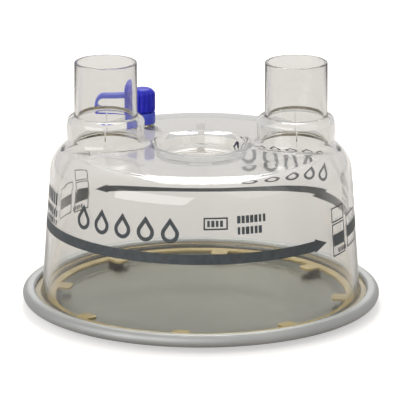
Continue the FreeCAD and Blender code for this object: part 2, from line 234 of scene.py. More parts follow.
def makeRoundTree():
    tree, given = newNodeTree("repeatRound", [
        ("Count", "NodeSocketInt"), ("First angle", "NodeSocketFloat"),
        ("Step angle", "NodeSocketFloat"), ("Material", "NodeSocketMaterial")])
    single = addNode(tree, "GeometryNodeGeometryToInstance", {0: given["Geometry"]})
    copies = addNode(tree, "GeometryNodeDuplicateElements",
                     {"Geometry": single.outputs[0], "Amount": given["Count"]}, domain="INSTANCE")
    angle = addNode(tree, "ShaderNodeMath", {0: copies.outputs["Duplicate Index"],
                                             1: given["Step angle"], 2: given["First angle"]},
                    operation="MULTIPLY_ADD")
    spin = addNode(tree, "ShaderNodeCombineXYZ", {"Z": angle.outputs[0]})
    placed = addNode(tree, "GeometryNodeRotateInstances",
                     {"Instances": copies.outputs["Geometry"], "Rotation": spin.outputs[0],
                      "Local Space": False})
    real = addNode(tree, "GeometryNodeRealizeInstances", {0: placed.outputs[0]})
    painted = addNode(tree, "GeometryNodeSetMaterial",
                      {"Geometry": real.outputs[0], "Material": given["Material"]})
    addNode(tree, "NodeGroupOutput", {0: painted.outputs[0]})
    return tree


def makeMarkTree():
    # a row of small upright marks of uneven width, in the flat print plane
    tree, given = newNodeTree("markRow", [
        ("Count", "NodeSocketInt"), ("Pitch", "NodeSocketFloat"), ("Height", "NodeSocketFloat"),
        ("Least width", "NodeSocketFloat"), ("Most width", "NodeSocketFloat"),
        ("Skin", "NodeSocketFloat"), ("Start", "NodeSocketVector"), ("Seed", "NodeSocketInt"),
        ("Material", "NodeSocketMaterial")])
    step = addNode(tree, "ShaderNodeCombineXYZ", {"X": given["Pitch"]})
    line = addNode(tree, "GeometryNodeMeshLine", {"Count": given["Count"],
                                                  "Start Location": given["Start"],
                                                  "Offset": step.outputs[0]})
    block = addNode(tree, "GeometryNodeMeshCube", {"Size": (1, 1, 1)})
    width = addNode(tree, "FunctionNodeRandomValue",
                    {2: given["Least width"], 3: given["Most width"], "Seed": given["Seed"]},
                    data_type="FLOAT")
    size = addNode(tree, "ShaderNodeCombineXYZ", {"X": width.outputs[1], "Y": given["Skin"],
                                                  "Z": given["Height"]})
    row = addNode(tree, "GeometryNodeInstanceOnPoints",
                  {"Points": line.outputs["Mesh"], "Instance": block.outputs["Mesh"],
                   "Scale": size.outputs[0]})
    real = addNode(tree, "GeometryNodeRealizeInstances", {0: row.outputs[0]})
    painted = addNode(tree, "GeometryNodeSetMaterial",
                      {"Geometry": real.outputs[0], "Material": given["Material"]})
    addNode(tree, "NodeGroupOutput", {0: painted.outputs[0]})
    return tree


def makeWrapTree():
    # flat print (x along, y out, z up) laid round the leaning wall
    tree, given = newNodeTree("wrapOnWall", [
        ("Foot radius", "NodeSocketFloat"), ("Foot level", "NodeSocketFloat"),
        ("Lean", "NodeSocketFloat"), ("Print radius", "NodeSocketFloat"),
        ("Material", "NodeSocketMaterial")])
    place = addNode(tree, "GeometryNodeInputPosition")
    part = addNode(tree, "ShaderNodeSeparateXYZ", {0: place.outputs[0]})
    angle = addNode(tree, "ShaderNodeMath", {0: part.outputs["X"], 1: given["Print radius"]},
                    operation="DIVIDE")
    rise = addNode(tree, "ShaderNodeMath", {0: part.outputs["Z"], 1: given["Foot level"]},
                   operation="SUBTRACT")
    slope = addNode(tree, "ShaderNodeMath", {0: given["Lean"]}, operation="TANGENT")
    drawIn = addNode(tree, "ShaderNodeMath", {0: rise.outputs[0], 1: slope.outputs[0]},
                     operation="MULTIPLY")
    bare = addNode(tree, "ShaderNodeMath", {0: given["Foot radius"], 1: drawIn.outputs[0]},
                   operation="SUBTRACT")
    radius = addNode(tree, "ShaderNodeMath", {0: bare.outputs[0], 1: part.outputs["Y"]},
                     operation="ADD")
    sine = addNode(tree, "ShaderNodeMath", {0: angle.outputs[0]}, operation="SINE")
    cosine = addNode(tree, "ShaderNodeMath", {0: angle.outputs[0]}, operation="COSINE")
    across = addNode(tree, "ShaderNodeMath", {0: radius.outputs[0], 1: sine.outputs[0]},
                     operation="MULTIPLY")
    deep = addNode(tree, "ShaderNodeMath", {0: radius.outputs[0], 1: cosine.outputs[0]},
                   operation="MULTIPLY")
    front = addNode(tree, "ShaderNodeMath", {0: deep.outputs[0], 1: -1.0}, operation="MULTIPLY")
    point = addNode(tree, "ShaderNodeCombineXYZ", {"X": across.outputs[0], "Y": front.outputs[0],
                                                   "Z": part.outputs["Z"]})
    moved = addNode(tree, "GeometryNodeSetPosition",
                    {"Geometry": given["Geometry"], "Position": point.outputs[0]})
    real = addNode(tree, "GeometryNodeRealizeInstances", {0: moved.outputs[0]})
    painted = addNode(tree, "GeometryNodeSetMaterial",
                      {"Geometry": real.outputs[0], "Material": given["Material"]})
    addNode(tree, "NodeGroupOutput", {0: painted.outputs[0]})
    return tree


roundTree = makeRoundTree()
markTree = makeMarkTree()
wrapTree = makeWrapTree()
print("node trees ready")


# camera, first of all

cameraView = {"aim": (-0.00033, 0.0, 0.03735), "distance": 1.59624, "elevation": 15.476,
              "lens": 408.0}


def makeCamera(view):
    data = bpy.data.cameras.new("photoView")
    data.sensor_width = 36
    data.lens = view["lens"]
    data.clip_start, data.clip_end = 0.05, 30
    camera = newThing("photoView", data)
    lift = math.radians(view["elevation"])
    back = Vector((0, -math.cos(lift), math.sin(lift)))
    camera.location = Vector(view["aim"]) + back * view["distance"]
    camera.rotation_mode = "QUATERNION"
    camera.rotation_quaternion = (-back).to_track_quat("-Z", "Y")
    bpy.context.scene.camera = camera


makeCamera(cameraView)
print("camera ready")


# finishes


def clearPolystyrene():
    # injection moulded polystyrene: clear, glossy, a faint warm grey cast, and slow waves
    # in the skin, some 14 mm long, where the melt flowed. The IOR stands at 1.49, lower
    # than the plastic's usual 1.59: the lamps and colours were set with it
    material, tree = newMaterial("clearPolystyreneMoulded")
    place = addNode(tree, "ShaderNodeTexCoord")
    flow = addNode(tree, "ShaderNodeTexNoise", {"Vector": place.outputs["Object"], "Scale": 70.0,
                                                "Detail": 1.0, "Roughness": 0.4})
    skin = addNode(tree, "ShaderNodeBump", {"Strength": 0.35, "Distance": 0.00008,
                                            "Height": flow.outputs["Fac"]})
    shell = addNode(tree, "ShaderNodeBsdfPrincipled", {
        "Base Color": hexColour("#f8f8f7"), "Roughness": 0.025, "IOR": 1.49,
        "Transmission Weight": 1.0, "Normal": skin.outputs[0]})
    clear = addNode(tree, "ShaderNodeBsdfTransparent", {"Color": hexColour("#efeeec")})
    path = addNode(tree, "ShaderNodeLightPath")
    # lamps shine through the wall, so the inside is lit as it is in the ward
    both = addNode(tree, "ShaderNodeMixShader", {0: path.outputs["Is Shadow Ray"],
                                                 1: shell.outputs[0], 2: clear.outputs[0]})
    addNode(tree, "ShaderNodeOutputMaterial", {"Surface": both.outputs[0]})
    return material


def satinAluminium():
    # drawn aluminium sheet, lightly oxidised: a soft mirror with faint drawing marks
    # that run round, about 0.4 mm apart, and clouds some 22 mm wide
    material, tree = newMaterial("drawnAluminiumSatin")
    place = addNode(tree, "ShaderNodeTexCoord")
    part = addNode(tree, "ShaderNodeSeparateXYZ", {0: place.outputs["Object"]})
    flat = addNode(tree, "ShaderNodeCombineXYZ", {"X": part.outputs["X"], "Y": part.outputs["Y"]})
    reach = addNode(tree, "ShaderNodeVectorMath", {0: flat.outputs[0]}, operation="LENGTH")
    lane = addNode(tree, "ShaderNodeCombineXYZ", {"X": reach.outputs["Value"],
                                                  "Z": part.outputs["Z"]})
    marks = addNode(tree, "ShaderNodeTexNoise", {"Vector": lane.outputs[0], "Scale": 2500.0,
                                                 "Detail": 3.0, "Roughness": 0.6})
    cloud = addNode(tree, "ShaderNodeTexNoise", {"Vector": place.outputs["Object"], "Scale": 45.0,
                                                 "Detail": 4.0, "Roughness": 0.55})
    tone = addNode(tree, "ShaderNodeMapRange", {"Value": cloud.outputs["Fac"], "From Min": 0.3,
                                                "From Max": 0.7, "To Min": 0.94, "To Max": 1.06})
    # the rolled rim is more matt than the face inside, and its colour is painted paler as painted
    # light; the face under the dome is painted darker as painted shade
    rimPaintedLightAndMatt = addNode(tree, "ShaderNodeMapRange", {"Value": reach.outputs["Value"],
                                               "From Min": 0.054, "From Max": 0.058})
    # inside colour darkened as painted shade under the dome, rim colour paled as painted light
    sheet = addNode(tree, "ShaderNodeMix", {0: rimPaintedLightAndMatt.outputs[0], 6: hexColour("#838377"),
                                            7: hexColour("#b1b2b0")}, data_type="RGBA")
    colour = addNode(tree, "ShaderNodeVectorMath", {0: sheet.outputs[2], 1: tone.outputs[0]},
                     operation="MULTIPLY")
    gloss = addNode(tree, "ShaderNodeMapRange", {"Value": rimPaintedLightAndMatt.outputs[0],
                                                 "To Min": 0.28, "To Max": 0.6})
    ridge = addNode(tree, "ShaderNodeBump", {"Strength": 0.03, "Distance": 0.00003,
                                             "Height": marks.outputs["Fac"]})
    metal = addNode(tree, "ShaderNodeBsdfPrincipled", {
        "Base Color": colour.outputs[0], "Metallic": 1.0, "Roughness": gloss.outputs[0],
        "Normal": ridge.outputs[0]})
    addNode(tree, "ShaderNodeOutputMaterial", {"Surface": metal.outputs[0]})
    return material


def mouldedRubber(name, dark, light, roughness, grain, depth):
    # soft moulded rubber or vinyl: an even colour, a little uneven over 6 mm, with a
    # fine grain from the mould, about half a millimetre
    material, tree = newMaterial(name)
    place = addNode(tree, "ShaderNodeTexCoord")
    patch = addNode(tree, "ShaderNodeTexNoise", {"Vector": place.outputs["Object"], "Scale": 160.0,
                                                 "Detail": 3.0, "Roughness": 0.5})
    tone = addNode(tree, "ShaderNodeValToRGB", {"Fac": patch.outputs["Fac"]})
    tone.color_ramp.elements[0].position = 0.3
    tone.color_ramp.elements[0].color = hexColour(dark)
    tone.color_ramp.elements[1].position = 0.7
    tone.color_ramp.elements[1].color = hexColour(light)
    fine = addNode(tree, "ShaderNodeTexNoise", {"Vector": place.outputs["Object"], "Scale": grain,
                                                "Detail": 2.0, "Roughness": 0.6})
    skin = addNode(tree, "ShaderNodeBump", {"Strength": 0.3, "Distance": depth,
                                            "Height": fine.outputs["Fac"]})
    rough = addNode(tree, "ShaderNodeMapRange", {"Value": fine.outputs["Fac"], "From Min": 0.3,
                                                 "From Max": 0.7, "To Min": roughness - 0.05,
                                                 "To Max": roughness + 0.05})
    body = addNode(tree, "ShaderNodeBsdfPrincipled", {
        "Base Color": tone.outputs["Color"], "Roughness": rough.outputs[0], "IOR": 1.45,
        "Normal": skin.outputs[0]})
    addNode(tree, "ShaderNodeOutputMaterial", {"Surface": body.outputs[0]})
    return material


def screenInk():
    # screen printed slate ink: matt, a little thin in places 2.5 mm wide
    material, tree = newMaterial("slateScreenInk")
    place = addNode(tree, "ShaderNodeTexCoord")
    patch = addNode(tree, "ShaderNodeTexNoise", {"Vector": place.outputs["Object"], "Scale": 400.0,
                                                 "Detail": 3.0, "Roughness": 0.6})
    tone = addNode(tree, "ShaderNodeValToRGB", {"Fac": patch.outputs["Fac"]})
    tone.color_ramp.elements[0].position = 0.35
    tone.color_ramp.elements[0].color = hexColour("#363b3e")
    tone.color_ramp.elements[1].position = 0.75
    tone.color_ramp.elements[1].color = hexColour("#454b4e")
    ink = addNode(tree, "ShaderNodeBsdfPrincipled", {
        "Base Color": tone.outputs["Color"], "Roughness": 0.55, "IOR": 1.5})
    addNode(tree, "ShaderNodeOutputMaterial", {"Surface": ink.outputs[0]})
    return material


polystyrene = clearPolystyrene()
aluminium = satinAluminium()
silicone = mouldedRubber("tanSiliconeMoulded", "#9c8852", "#a9965f", 0.5, 2200.0, 0.00004)
vinyl = mouldedRubber("blueVinylSoft", "#1b1eba", "#262ac8", 0.44, 1800.0, 0.00003)
# the same vinyl where it is thin, painted paler: painted light that stands in for light shining
# through it
thinVinylPaintedLit = mouldedRubber("blueVinylThinPaintedLit", "#4350cb", "#525fd5", 0.42, 1800.0, 0.00003)
ink = screenInk()
print("finishes ready")


# base plate: one drawn sheet with a rolled, clamping rim

plateSizes = {"sheet": 0.8, "stepHeight": 2.0, "contactRadius": 50.0, "stepRun": 2.0,
              "lipRadius": 58.5, "lipBottom": 5.0, "bend": 0.4, "rollRadius": 60.8,
              "rollOuter": 2.2, "segments": 256}


def makeBasePlate(s):
    t = s["sheet"]
    rollZ = s["stepHeight"] + s["rollOuter"]
    top = rollZ + s["rollOuter"]
    inner = s["rollOuter"] - t
    shift = t * math.tan(math.atan(s["stepHeight"] / s["stepRun"]) / 2)
    reach = s["rollRadius"] + s["rollOuter"]
    flangeStart = s["contactRadius"] + s["stepRun"]
    outline = roundCorners([
        (s["contactRadius"], 0, 0.9),
        (flangeStart, s["stepHeight"], 0.5),
        (reach, s["stepHeight"], s["rollOuter"]),
        (reach, top, s["rollOuter"]),
        (s["lipRadius"], top, s["bend"] + t),
        (s["lipRadius"], s["lipBottom"], 0.15),
        (s["lipRadius"] + t, s["lipBottom"], 0.15),
        (s["lipRadius"] + t, top - t, s["bend"]),
        (s["rollRadius"] + inner, top - t, inner),
        (s["rollRadius"] + inner, s["stepHeight"] + t, inner),
        (flangeStart - shift, s["stepHeight"] + t, 0.9),
        (s["contactRadius"] - shift, t, 0.5),
        (0, t, 0),
        (0, 0, 0),
    ], steps=8)
    return turned("drawnPlate", outline, s["segments"])


drawnPlate = finishPiece(makeBasePlate(plateSizes), aluminium)
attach(drawnPlate, "chamber")
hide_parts("base_plate")
print("base plate ready")


# seal ring with its locating tabs

sealSizes = {"inner": 51.6, "outer": 60.0, "bottom": 2.8, "thickness": 1.0, "edge": 0.16,
             "tabCount": 8, "tabReach": 4.9, "tabWidth": 6.0, "tabCorner": 1.4, "tabTurn": 37.0,
             "segments": 256}


def makeSealRing(s):
    low, high = s["bottom"], s["bottom"] + s["thickness"]
    ring = turned("softSeal", roundCorners([
        (s["inner"], low, s["edge"]), (s["outer"], low, s["edge"]),
        (s["outer"], high, s["edge"]), (s["inner"], high, s["edge"])], steps=3), s["segments"])
    half = s["tabWidth"] / 2
    tip = s["inner"] - s["tabReach"]
    root = s["inner"] + 1.5
    tab = slab("tab", roundCorners([
        (root, -half, 0), (root, half, 0), (tip, half, s["tabCorner"]),
        (tip, -half, s["tabCorner"])], steps=6), low + 0.002, high - 0.002)
    softenEdges(tab, s["edge"], 2)
    runNodes(tab, roundTree, {"Count": s["tabCount"], "First angle": math.radians(s["tabTurn"]),
                              "Step angle": math.tau / s["tabCount"], "Material": silicone})
    cutOrJoin(ring, tab, "UNION")
    return ring


softSeal = finishPiece(makeSealRing(sealSizes), silicone)
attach(softSeal, "chamber")
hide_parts("seal_ring")
print("seal ring ready")


# dome: wall, shoulder, recess, ports, spigot and rib, moulded in one

domeSizes = {"footRadius": 56.2, "wall": 1.6, "lean": 4.1, "shoulder": 9.4, "height": 58.0,
             "crownTop": 58.35, "crownRadius": 40.0, "crownBend": 60.0, "crownFall": 9.0,
             "footLevel": 3.8, "footThickness": 1.2, "footEdge": 60.2, "footFillet": 0.8,
             "recessRadius": 15.8, "recessSlope": 1.9, "recessDepth": 4.0,
             "recessEdge": 2.2, "recessFoot": 1.2, "roomEdge": 1.8, "roomFoot": 2.2,
             "ribThickness": 1.6, "ribDraft": 5.0, "ribDepth": 7.0, "ribRound": 0.42,
             "portOffset": 33.3, "portRadius": 11.0, "portWall": 1.1, "portTop": 87.5,
             "portEdge": 0.5, "collarRadius": 13.6, "collarTop": 68.3, "collarBend": 2.6,
             "collarFillet": 2.1, "collarWall": 1.6, "portFillet": 0.28,
             "seamHalf": 0.22, "seamStand": 0.13, "portSettle": 5.0, "spigotSettle": 2.5,
             "fillX": -20.7, "fillY": 25.0, "fillBore": 2.2, "fillRadius": 3.1, "fillTop": 69.0,
             "seatRadius": 3.9, "seatTop": 61.4, "seatFillet": 0.5,
             "segments": 288, "portSegments": 144, "spigotSegments": 64}


def makeDome(s):
    lean = math.tan(math.radians(s["lean"]))
    fall = math.tan(math.radians(s["crownFall"]))
    low, top, wall = s["footLevel"], s["crownTop"], s["wall"]
    flange = low + s["footThickness"]
    floorRadius = s["recessRadius"] - s["recessSlope"]
    floor = s["height"] - s["recessDepth"]
    ceiling = top - wall

    def contour(thick, bend):
        # from the wall's foot over the shoulder and the crown into the recess
        side = s["footRadius"] - thick / math.cos(math.radians(s["lean"]))
        level = top - thick / math.cos(math.radians(s["crownFall"])) + s["crownRadius"] * fall
        reach = (side - (level - low) * lean) / (1 - lean * fall)
        return side, [(reach, level - reach * fall, bend),
                      (s["crownRadius"] - thick * fall / 2, top - thick, s["crownBend"])]

    side, over = contour(0, s["shoulder"])
    skin = roundCorners([
        (0, low, 0), (s["footEdge"], low, 0.25), (s["footEdge"], flange, 0.25),
        (side - (flange - low) * lean, flange, s["footFillet"]), *over,
        (s["recessRadius"], top, s["recessEdge"]), (floorRadius, floor, s["recessFoot"]),
        (0, floor, 0)], steps=16)
    dome = turned("clearDome", skin, s["segments"])

    def settle(thing, reach, line=skin, level=top):
        # let the foot of a port or spigot follow the fall of the crown and shoulder
        for vertex in thing.data.vertices:
            x, y, z = vertex.co
            r = max(math.hypot(x, y), s["recessRadius"] + 4)
            for (r1, z1), (r2, z2) in zip(line, line[1:]):
                if z1 > 30 and r2 <= r <= r1 and r1 > r2:
                    drop = z1 + (z2 - z1) * (r1 - r) / (r1 - r2) - level
                    vertex.co.z += drop * min(1, max(0, 1 - (z - level) / reach))
                    break
        return thing

    root = top - wall * 0.6
    parts = []
    for way in (-1, 1):
        parts.append(settle(turned("port", roundCorners([
            (0, root, 0), (s["collarRadius"] + s["collarFillet"], root, 0),
            (s["collarRadius"] + s["collarFillet"], top - 0.01, 0),
            (s["collarRadius"], top - 0.01, s["collarFillet"] - 0.02),
            (s["collarRadius"], s["collarTop"], s["collarBend"] - 0.3),
            (s["portRadius"], s["collarTop"], s["portFillet"]),
            (s["portRadius"], s["portTop"], s["portEdge"]), (0, s["portTop"], 0)], steps=8),
            s["portSegments"], (way * s["portOffset"], 0)), s["portSettle"]))
        # parting line left by the mould, front and back of each collar
        seam = slab("seam", [
            (way * s["portOffset"] + x * s["seamHalf"], y * (s["collarRadius"] + s["seamStand"]))
            for x, y in ((-1, -1), (1, -1), (1, 1), (-1, 1))],
            top + s["collarFillet"], s["collarTop"] - s["collarBend"])
        parts.append(seam)
    parts.append(settle(turned("spigot", roundCorners([
        (0, root, 0), (s["seatRadius"] + s["seatFillet"], root, 0),
        (s["seatRadius"] + s["seatFillet"], top - 0.01, 0),
        (s["seatRadius"], top - 0.01, s["seatFillet"] - 0.02),
        (s["seatRadius"], s["seatTop"], 0.15), (s["fillRadius"], s["seatTop"], 0),
        (s["fillRadius"], s["fillTop"], 0.2), (0, s["fillTop"], 0)], steps=6),
        s["spigotSegments"], (s["fillX"], s["fillY"])), s["spigotSettle"]))
    cutOrJoin(dome, joinMeshes("addedForms", parts), "UNION")
    side, over = contour(wall, s["shoulder"] - wall)
    under = roundCorners([
        (0, low - 1, 0), (side + lean, low - 1, 0), *over,
        (s["recessRadius"] + wall, ceiling, s["roomEdge"]),
        (floorRadius + wall, floor - wall, s["roomFoot"]),
        (0, floor - wall, 0)], steps=16)
    cutOrJoin(dome, turned("room", under, s["segments"]), "DIFFERENCE")
    # the rib hangs under the ceiling, from the recess to the back wall
    reach = over[0][0]
    turnIn = s["shoulder"] - wall / 2
    outline = roundCorners([
        (floorRadius + wall / 2, ceiling - s["ribDepth"], 0),
        (side - (ceiling - s["ribDepth"] - low) * lean + wall / 2, ceiling - s["ribDepth"], 0),
        (reach + wall / 2, ceiling - 0.9, turnIn), (floorRadius + wall / 2, ceiling + 0.5, 0)],
        steps=12)
    rib = slab("rib", outline, -s["ribThickness"] / 2, s["ribThickness"] / 2, upright=True)
    softenEdges(rib, s["ribThickness"] * s["ribRound"], 4, 60)
    # draft: the rib is thicker at its root, so that it leaves the mould
    for vertex in rib.data.vertices:
        rise = vertex.co.z - (ceiling - s["ribDepth"])
        vertex.co.y *= 1 + 2 * rise * math.tan(math.radians(s["ribDraft"])) / s["ribThickness"]
    rib.data.transform(Matrix.Rotation(math.pi / 2, 4, "Z"))
    cutOrJoin(dome, rib, "UNION")
    # the ports are hollow behind their collars, so that the wall stays even
    bore = s["portRadius"] - s["portWall"]
    wide = s["collarRadius"] - s["collarWall"]
    bores = []
    flare = s["collarFillet"] + s["collarWall"]
    for way in (-1, 1):
        bores.append(settle(turned("bore", roundCorners([
            (0, 50, 0), (wide + flare + 0.1, 50, 0), (wide + flare + 0.1, ceiling - 0.04, 0),
            (wide, ceiling - 0.04, flare),
            (wide, s["collarTop"] - s["portWall"], wide - bore - 0.3),
            (bore, s["collarTop"] - s["portWall"], s["portFillet"]),
            (bore, s["portTop"], 0.3), (bore + 0.6, s["portTop"], 0),
            (bore + 0.6, s["portTop"] + 5, 0), (0, s["portTop"] + 5, 0)], steps=10),
            s["portSegments"], (way * s["portOffset"], 0)), s["portSettle"], under, ceiling))
    bores.append(turned("bore", [
        (0, 50), (s["fillBore"], 50), (s["fillBore"], s["fillTop"] - 0.2),
        (s["fillBore"] + 0.2, s["fillTop"]), (s["fillBore"] + 0.2, s["fillTop"] + 5),
        (0, s["fillTop"] + 5)], s["spigotSegments"], (s["fillX"], s["fillY"])))
    cutOrJoin(dome, joinMeshes("bores", bores), "DIFFERENCE")
    return dome


clearDome = finishPiece(makeDome(domeSizes), polystyrene, 28)
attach(clearDome, "chamber")
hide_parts("dome")
print("dome ready", len(clearDome.data.polygons))


# fill cap with its grip ribs

capSizes = {"centre": (-20.7, 25.0), "plugRadius": 1.9, "plugTip": 60.0, "plugLead": 0.9,
            "skirtInner": 3.4, "radius": 4.45, "skirtEnd": 63.4, "top": 71.7, "head": 69.3,
            "crown": 2.3, "ribCount": 16, "ribDepth": 0.3, "ribWidth": 1.15, "ribEdge": 0.28,
            "segments": 96}


def makeFillCap(s):
    core = s["radius"] - s["ribDepth"]
    cap = turned("ribbedCap", roundCorners([
        (0, s["plugTip"], 0), (s["plugRadius"] - s["plugLead"], s["plugTip"], 0.2),
        (s["plugRadius"], s["plugTip"] + s["plugLead"], 0.2), (s["plugRadius"], s["head"], 0.1),
        (s["skirtInner"], s["head"], 0.1), (s["skirtInner"], s["skirtEnd"], 0.15),
        (core, s["skirtEnd"], 0.25), (core, s["top"], s["crown"] - 0.2), (0, s["top"], 0)],
        steps=8), s["segments"])
    rib = slab("rib", roundCorners([
        (core - 0.5, s["skirtEnd"] + 0.25, 0), (s["radius"], s["skirtEnd"] + 0.25, 0.3),
        (s["radius"], s["top"] - 1.0, s["crown"] - 0.9), (core - 1.5, s["top"] - 0.6, 0)],
        steps=6), -s["ribWidth"] / 2, s["ribWidth"] / 2, upright=True)
    softenEdges(rib, s["ribEdge"], 3)
    runNodes(rib, roundTree, {"Count": s["ribCount"], "First angle": 0.0,
                              "Step angle": math.tau / s["ribCount"], "Material": vinyl})
    cutOrJoin(cap, rib, "UNION")
    cap.data.transform(Matrix.Translation((*s["centre"], 0)))
    return cap


ribbedCap = finishPiece(makeFillCap(capSizes), vinyl)
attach(ribbedCap, "cap")
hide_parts("fill_cap")
print("cap ready")


# strap that ties the cap to the spigot's foot

strapSizes = {"centre": (-20.7, 25.0), "ringInner": 3.25, "ringOuter": 4.45, "ringLow": 61.4,
              "ringHigh": 63.1, "skirtInner": 3.95, "skirtEnd": 59.1, "thickness": 1.3,
              "width": 2.4, "reach": 18.0, "low": 62.2, "high": 67.3, "bend": 2.2,
              "wedge": 5.6, "capSide": 4.05, "edge": 0.25}


def makeStrap(s):
    # the ring sits on the spigot's seat and its skirt hides the seat's side
    ring = turned("capStrap", roundCorners([
        (s["ringInner"], s["ringLow"], 0.15), (s["skirtInner"], s["ringLow"], 0),
        (s["skirtInner"], s["skirtEnd"], 0.1), (s["ringOuter"], s["skirtEnd"], 0.2),
        (s["ringOuter"], s["ringHigh"], 0.3), (s["ringInner"], s["ringHigh"], 0.15)], steps=4), 64)
    t = s["thickness"]
    upper = s["high"] + t - s["low"] - s["bend"]
    outline = roundCorners([
        (-s["capSide"], s["low"] + t, 0),
        (-(s["reach"] - s["wedge"]), s["low"] + t, 0.6),
        (-(s["reach"] - t), s["low"] + s["bend"] + 0.4, 0.8),
        (-(s["reach"] - t), s["high"], upper - t - 0.6),
        (-s["capSide"], s["high"], 0),
        (-s["capSide"], s["high"] + t, 0),
        (-s["reach"], s["high"] + t, upper),
        (-s["reach"], s["low"], s["bend"]),
        (-s["capSide"], s["low"], 0)], steps=10)
    strap = slab("strap", outline, -s["width"] / 2, s["width"] / 2, upright=True)
    softenEdges(strap, s["edge"], 3, 50)
    cutOrJoin(ring, strap, "UNION")
    ring.data.transform(Matrix.Translation((*s["centre"], 0)))
    return ring


# the strap is painted paler than the cap, painted light for light shining through the thin vinyl
capStrap = finishPiece(makeStrap(strapSizes), thinVinylPaintedLit)
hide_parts("cap_tether")
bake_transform(capStrap)
print("strap ready")


# printed level line and marks on both sides of the wall

printSizes = {"printRadius": 54.0, "backTurn": 172.7, "skinIn": -0.03, "skinOut": 0.04,
              "lineLevel": 31.2, "lineWidth": 3.6, "lineStart": -100.0, "lineEnd": 47.0,
              "tipEnd": 53.2, "tipWidth": 4.8,
              "dropStart": -49.0, "dropPitch": 9.4, "dropCount": 5, "dropLow": 36.8,
              "dropHeight": 8.6, "dropWidth": 6.4, "dropStroke": 1.35}


def along(degrees):
    return math.radians(degrees) * printSizes["printRadius"]


def inkRibbon(bm, path, widths, closed=False):
    # a thin closed band of ink along a flat path, mitred at its corners
    low, high = printSizes["skinIn"], printSizes["skinOut"]
    rows = []
    count = len(path)
    for i, (x, z) in enumerate(path):
        here = Vector((x, z))
        before = Vector(path[i - 1]) if closed or i else None
        after = Vector(path[(i + 1) % count]) if closed or i < count - 1 else None
        a = (here - before).normalized() if before is not None else None
        b = (after - here).normalized() if after is not None else None
        along1, along2 = a or b, b or a
        side = Vector((-(along1 + along2).y, (along1 + along2).x)).normalized()
        mitre = 1 / max(0.4, side.dot(Vector((-along1.y, along1.x))))
        half = (widths if isinstance(widths, (int, float)) else widths[i]) / 2 * mitre
        left, right = here + side * half, here - side * half
        rows.append([bm.verts.new((left.x, low, left.y)), bm.verts.new((right.x, low, right.y)),
                     bm.verts.new((right.x, high, right.y)), bm.verts.new((left.x, high, left.y))])
    for i in range(count if closed else count - 1):
        a, b = rows[i], rows[(i + 1) % count]
        for k in range(4):
            n = (k + 1) % 4
            bm.faces.new((a[k], a[n], b[n], b[k]))
    if not closed:
        bm.faces.new(rows[0])
        bm.faces.new(rows[-1])


def steppedLine(start, end, step=1.0):
    # points from start to end, about one step apart, so that the line can bend
    length = (Vector(end) - Vector(start)).length
    count = max(1, round(length / step))
    return [tuple(Vector(start).lerp(Vector(end), k / count)) for k in range(count + 1)]


def inkFrame(bm, left, right, low, high, stroke):
    corners = [(left, low), (right, low), (right, high), (left, high)]
    path = []
    for i in range(4):
        path += steppedLine(corners[i], corners[(i + 1) % 4])[:-1]
    inkRibbon(bm, path, stroke, closed=True)


def inkBand(bm, left, right, level, height):
    inkRibbon(bm, steppedLine((left, level), (right, level)), height)


def inkDrop(bm, middle, low, width, height, stroke):
    # outline of a water drop: round foot, pointed head
    radius = width / 2
    centre = low + radius
    path = []
    for k in range(25):
        a = math.radians(-215 + 250 * k / 24)
        path.append((middle + radius * math.cos(a), centre + radius * math.sin(a)))
    right, left = path[-1], path[0]
    tip = (middle, low + height)
    path += [tuple(Vector(right).lerp(Vector(tip), k / 5)) for k in range(1, 5)]
    path.append(tip)
    path += [tuple(Vector(tip).lerp(Vector(left), k / 5)) for k in range(1, 5)]
    inkRibbon(bm, path, stroke, closed=True)


# outlined fields after the arrow: left and right in degrees, low, high, stroke
fieldFrames = [
    (57.5, 66.5, 37.2, 42.0, 0.45),
    (57.5, 66.5, 25.2, 36.2, 0.45),
    (69.5, 80.5, 26.0, 37.2, 0.45),
]
# filled bands in them: left and right in degrees, level, height
fieldBands = [
    (57.9, 66.1, 30.6, 4.2),
    (69.9, 80.1, 31.2, 4.0),
]
# small outlined field in the middle of the front
frontFrame = (1.2, 9.6, 41.7, 45.5, 0.55)
# rows of marks: count, pitch, height, least, most width, start along, level, seed
frontRows = [
    (7, 1.55, 2.6, 0.8, 1.25, 13.2, 44.7, 3),
    (6, 1.55, 2.6, 0.8, 1.25, 13.2, 40.8, 8),
    (4, 1.5, 2.2, 0.7, 1.1, 2.6, 43.6, 5),
]
markRows = [
    (5, 1.3, 1.6, 0.6, 1.0, 58.0, 26.6, 4),
    (6, 2.6, 4.2, 0.9, 1.9, -79.0, 42.6, 11),
    (7, 2.3, 2.4, 0.9, 1.8, -79.0, 37.6, 12),
    (6, 2.2, 1.6, 0.8, 1.6, -76.0, 34.6, 13),
]


def wrapPrint(name, bm, rows):
    # close one flat sheet of print, add its rows of marks and lay it on the wall
    s = printSizes
    bmesh.ops.recalc_face_normals(bm, faces=bm.faces)
    flat = [newThing("flatPrint", meshOf("flatPrint", bm))]
    for count, pitch, height, least, most, start, level, seed in rows:
        row = newThing("marks", bpy.data.meshes.new("marks"))
        runNodes(row, markTree, {
            "Count": count, "Pitch": pitch, "Height": height, "Least width": least,
            "Most width": most, "Skin": s["skinOut"] - s["skinIn"],
            "Start": (start, (s["skinIn"] + s["skinOut"]) / 2, level), "Seed": seed,
            "Material": ink})
        flat.append(row)
    printed = joinMeshes(name, flat)
    runNodes(printed, wrapTree, {
        "Foot radius": domeSizes["footRadius"], "Foot level": domeSizes["footLevel"],
        "Lean": math.radians(domeSizes["lean"]), "Print radius": s["printRadius"],
        "Material": ink})
    return printed


